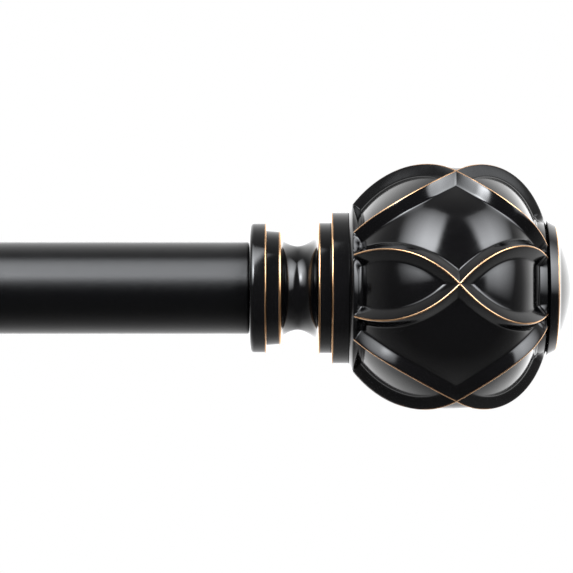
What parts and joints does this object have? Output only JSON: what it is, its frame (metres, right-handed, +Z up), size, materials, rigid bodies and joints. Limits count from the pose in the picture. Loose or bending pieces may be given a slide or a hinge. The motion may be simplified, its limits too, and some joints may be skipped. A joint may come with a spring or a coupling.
{
  "type": "curtain rod with brackets",
  "caption": "Telescoping curtain rod with netted ball finials, resting in open cups on wall brackets with adjustable projection and thumb screws.",
  "frame": {"origin": "middle of the right wall plate's back face, level with the rod's axis", "axes": "+X along the rod to the finial on the outer tube, +Y into the wall, +Z up"},
  "size_m": [0.7588, 0.1561, 0.076],
  "materials": {
    "rod_black": "satin black enamel",
    "bracket_black": "satin black enamel",
    "finial_lacquer": "gloss black lacquer rubbed through to copper on its edges",
    "screw_black": "black plated steel",
    "zinc_steel": "bright zinc plate",
    "nylon_tip": "natural nylon",
    "nylon_glide": "black nylon"
  },
  "bodies": {
    "wall_side": {"wall_plate_R": "bracket_black", "arm_sleeve_R": "bracket_black", "wall_screw_upper_R": "screw_black", "wall_screw_lower_R": "screw_black", "wall_plate_L": "bracket_black", "arm_sleeve_L": "bracket_black", "wall_screw_upper_L": "screw_black", "wall_screw_lower_L": "screw_black"},
    "outer_rod": {"outer_tube": "rod_black", "outer_end_plug": "zinc_steel"},
    "inner_rod": {"inner_tube": "rod_black", "inner_end_plug": "zinc_steel", "glide_plug": "nylon_glide"},
    "right_arm": {"slide_arm_R": "bracket_black", "cup_R": "bracket_black", "cup_rivet_R": "bracket_black"},
    "right_collar": {"finial_collar_R": "finial_lacquer"},
    "right_finial": {"finial_neck_R": "finial_lacquer", "finial_seat_ring_R": "finial_lacquer", "finial_ball_R": "finial_lacquer", "finial_cap_R": "finial_lacquer", "finial_stud_R": "zinc_steel"},
    "right_cup_tip": {"cup_screw_tip_R": "nylon_tip"},
    "right_cup_screw": {"cup_screw_R": "screw_black"},
    "right_arm_tip": {"arm_screw_tip_R": "nylon_tip"},
    "right_arm_screw": {"arm_screw_R": "screw_black"},
    "left_arm": {"slide_arm_L": "bracket_black", "cup_L": "bracket_black", "cup_rivet_L": "bracket_black"},
    "left_collar": {"finial_collar_L": "finial_lacquer"},
    "left_finial": {"finial_neck_L": "finial_lacquer", "finial_seat_ring_L": "finial_lacquer", "finial_ball_L": "finial_lacquer", "finial_cap_L": "finial_lacquer", "finial_stud_L": "zinc_steel"},
    "left_cup_tip": {"cup_screw_tip_L": "nylon_tip"},
    "left_cup_screw": {"cup_screw_L": "screw_black"},
    "left_arm_tip": {"arm_screw_tip_L": "nylon_tip"},
    "left_arm_screw": {"arm_screw_L": "screw_black"}
  },
  "joints": [
    {"name": "right_projection", "type": "slide", "parent": "wall_side", "child": "right_arm", "axis": [0, -1, 0], "range_m": [-0.012, 0.02]},
    {"name": "left_projection", "type": "slide", "parent": "wall_side", "child": "left_arm", "axis": [0, -1, 0], "range_m": [-0.012, 0.02]},
    {"name": "rod_lift", "type": "slide", "parent": "right_arm", "child": "outer_rod", "axis": [0, 0, 1], "range_m": [0, 0.045]},
    {"name": "rod_extend", "type": "slide", "parent": "outer_rod", "child": "inner_rod", "axis": [-1, 0, 0], "range_m": [-0.06, 0.131]},
    {"name": "right_finial_advance", "type": "slide", "parent": "outer_rod", "child": "right_collar", "axis": [1, 0, 0], "range_m": [0, 0.0075]},
    {"name": "right_finial_turn", "type": "hinge", "parent": "right_collar", "child": "right_finial", "pos_m": [0.098, -0.09, 0], "axis": [1, 0, 0], "range_deg": [0, 2161]},
    {"name": "right_cup_screw_advance", "type": "slide", "parent": "right_arm", "child": "right_cup_tip", "axis": [0, 0, -1], "range_m": [0, 0.0028]},
    {"name": "right_cup_screw_turn", "type": "hinge", "parent": "right_cup_tip", "child": "right_cup_screw", "pos_m": [0, -0.09, -0.02], "axis": [0, 0, -1], "range_deg": [0, 1441]},
    {"name": "right_arm_screw_advance", "type": "slide", "parent": "wall_side", "child": "right_arm_tip", "axis": [0, 0, -1], "range_m": [0, 0.0028]},
    {"name": "right_arm_screw_turn", "type": "hinge", "parent": "right_arm_tip", "child": "right_arm_screw", "pos_m": [0, -0.042, -0.02], "axis": [0, 0, -1], "range_deg": [0, 1441]},
    {"name": "left_finial_advance", "type": "slide", "parent": "inner_rod", "child": "left_collar", "axis": [-1, 0, 0], "range_m": [0, 0.0075]},
    {"name": "left_finial_turn", "type": "hinge", "parent": "left_collar", "child": "left_finial", "pos_m": [-0.482, -0.09, 0], "axis": [-1, 0, 0], "range_deg": [0, 2161]},
    {"name": "left_cup_screw_advance", "type": "slide", "parent": "left_arm", "child": "left_cup_tip", "axis": [0, 0, -1], "range_m": [0, 0.0028]},
    {"name": "left_cup_screw_turn", "type": "hinge", "parent": "left_cup_tip", "child": "left_cup_screw", "pos_m": [-0.384, -0.09, -0.02], "axis": [0, 0, -1], "range_deg": [0, 1441]},
    {"name": "left_arm_screw_advance", "type": "slide", "parent": "wall_side", "child": "left_arm_tip", "axis": [0, 0, -1], "range_m": [0, 0.0028]},
    {"name": "left_arm_screw_turn", "type": "hinge", "parent": "left_arm_tip", "child": "left_arm_screw", "pos_m": [-0.384, -0.042, -0.02], "axis": [0, 0, -1], "range_deg": [0, 1441]}
  ],
  "couplings": [
    {"joint": "left_projection", "follows": "right_projection", "ratio": 1},
    {"joint": "right_finial_turn", "follows": "right_finial_advance", "rad_per_m": 5026.5},
    {"joint": "right_cup_screw_turn", "follows": "right_cup_screw_advance", "rad_per_m": 8976},
    {"joint": "right_arm_screw_turn", "follows": "right_arm_screw_advance", "rad_per_m": 8976},
    {"joint": "left_finial_turn", "follows": "left_finial_advance", "rad_per_m": 5026.5},
    {"joint": "left_cup_screw_turn", "follows": "left_cup_screw_advance", "rad_per_m": 8976},
    {"joint": "left_arm_screw_turn", "follows": "left_arm_screw_advance", "rad_per_m": 8976}
  ]
}
